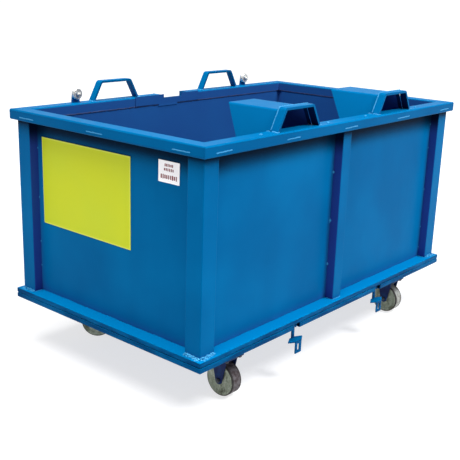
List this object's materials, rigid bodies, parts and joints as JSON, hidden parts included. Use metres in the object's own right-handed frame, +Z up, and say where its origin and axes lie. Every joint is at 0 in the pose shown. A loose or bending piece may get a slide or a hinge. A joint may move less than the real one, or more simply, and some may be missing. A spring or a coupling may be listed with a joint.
{
  "type": "bottom-emptying forklift skip on castors",
  "caption": "Painted steel waste skip with overhead fork pockets, a hinged drop floor held by latches, and castors under the floor.",
  "frame": {"origin": "on the ground under the middle of the box", "axes": "+X along the long side, +Y towards the hinged long side, +Z up; the latches face -Y and the sign board faces -X"},
  "size_m": [1.65, 1.024, 1.0373],
  "materials": {
    "blue_paint": "gloss",
    "yellow_board": "satin",
    "white_plate": "satin",
    "dark_fork": "satin",
    "nylon_wheel": "matte",
    "zinc_steel": "satin"
  },
  "bodies": {
    "container": {"rim_tube_near": "blue_paint", "rim_tube_far": "blue_paint", "rim_tube_left": "blue_paint", "rim_tube_right": "blue_paint", "cord_guide": "blue_paint", "panel_near": "blue_paint", "panel_far": "blue_paint", "panel_left": "blue_paint", "panel_right": "blue_paint", "corner_post_near_left": "blue_paint", "corner_post_near_right": "blue_paint", "corner_post_far_left": "blue_paint", "corner_post_far_right": "blue_paint", "mid_post_near": "blue_paint", "mid_post_far": "blue_paint", "base_flange_near": "blue_paint", "base_flange_far": "blue_paint", "base_flange_left": "blue_paint", "base_flange_right": "blue_paint", "fork_collar_left": "blue_paint", "fork_collar_right": "blue_paint", "fork_loop_left": "blue_paint", "fork_loop_right": "blue_paint", "fork_hood_left": "blue_paint", "fork_hood_right": "blue_paint", "pulley_tab_left": "blue_paint", "pulley_tab_right": "blue_paint", "sign_board": "yellow_board", "rating_plate": "white_plate", "hinge_hanger_left": "blue_paint", "hinge_hanger_right": "blue_paint"},
    "door": {"door_rail_near": "blue_paint", "door_rail_far": "blue_paint", "door_rail_left": "blue_paint", "door_rail_right": "blue_paint", "door_plate": "blue_paint", "cross_member_left": "blue_paint", "cross_member_right": "blue_paint", "hinge_knuckle_left": "blue_paint", "hinge_knuckle_right": "blue_paint", "castor_fork_near_left": "dark_fork", "castor_fork_near_right": "dark_fork", "castor_axle_near_left": "zinc_steel", "castor_axle_near_right": "zinc_steel", "castor_plate_far_left": "dark_fork", "castor_plate_far_right": "dark_fork", "latch_clevis_left": "blue_paint", "latch_clevis_right": "blue_paint"},
    "swivel_left": {"castor_fork_far_left": "dark_fork", "castor_axle_far_left": "zinc_steel"},
    "latch_left": {"latch_lever_left": "blue_paint"},
    "pulley_wheel_left": {"pulley_left": "zinc_steel"},
    "wheel_near_left": {"castor_wheel_near_left": "nylon_wheel"},
    "wheel_far_left": {"castor_wheel_far_left": "nylon_wheel"},
    "swivel_right": {"castor_fork_far_right": "dark_fork", "castor_axle_far_right": "zinc_steel"},
    "latch_right": {"latch_lever_right": "blue_paint"},
    "pulley_wheel_right": {"pulley_right": "zinc_steel"},
    "wheel_near_right": {"castor_wheel_near_right": "nylon_wheel"},
    "wheel_far_right": {"castor_wheel_far_right": "nylon_wheel"}
  },
  "joints": [
    {"name": "door_hinge", "type": "hinge", "parent": "container", "child": "door", "pos_m": [0, 0.501, 0.21965], "axis": [1, 0, 0], "range_deg": [0, 85]},
    {"name": "latch_left_pivot", "type": "hinge", "parent": "door", "child": "latch_left", "pos_m": [-0.29, -0.482, 0.2095], "axis": [1, 0, 0], "range_deg": [-60, 0]},
    {"name": "latch_right_pivot", "type": "hinge", "parent": "door", "child": "latch_right", "pos_m": [0.29, -0.482, 0.2095], "axis": [1, 0, 0], "range_deg": [-60, 0]},
    {"name": "pulley_left_spin", "type": "hinge", "parent": "container", "child": "pulley_wheel_left", "pos_m": [-0.522, 0.4727, 0.991], "axis": [0, 1, 0], "continuous": true},
    {"name": "pulley_right_spin", "type": "hinge", "parent": "container", "child": "pulley_wheel_right", "pos_m": [0.522, 0.4727, 0.991], "axis": [0, 1, 0], "continuous": true},
    {"name": "castor_left_swivel", "type": "hinge", "parent": "door", "child": "swivel_left", "pos_m": [-0.574, 0.374, 0.15], "axis": [0, 0, 1], "continuous": true},
    {"name": "castor_right_swivel", "type": "hinge", "parent": "door", "child": "swivel_right", "pos_m": [0.574, 0.374, 0.15], "axis": [0, 0, 1], "continuous": true},
    {"name": "wheel_near_left_roll", "type": "hinge", "parent": "door", "child": "wheel_near_left", "pos_m": [-0.574, -0.391, 0.0625], "axis": [1, 0, 0], "continuous": true},
    {"name": "wheel_far_left_roll", "type": "hinge", "parent": "swivel_left", "child": "wheel_far_left", "pos_m": [-0.54629, 0.33854, 0.0625], "axis": [0.788, 0.6157, 0], "continuous": true},
    {"name": "wheel_near_right_roll", "type": "hinge", "parent": "door", "child": "wheel_near_right", "pos_m": [0.574, -0.391, 0.0625], "axis": [1, 0, 0], "continuous": true},
    {"name": "wheel_far_right_roll", "type": "hinge", "parent": "swivel_right", "child": "wheel_far_right", "pos_m": [0.60171, 0.33854, 0.0625], "axis": [0.788, 0.6157, 0], "continuous": true}
  ]
}
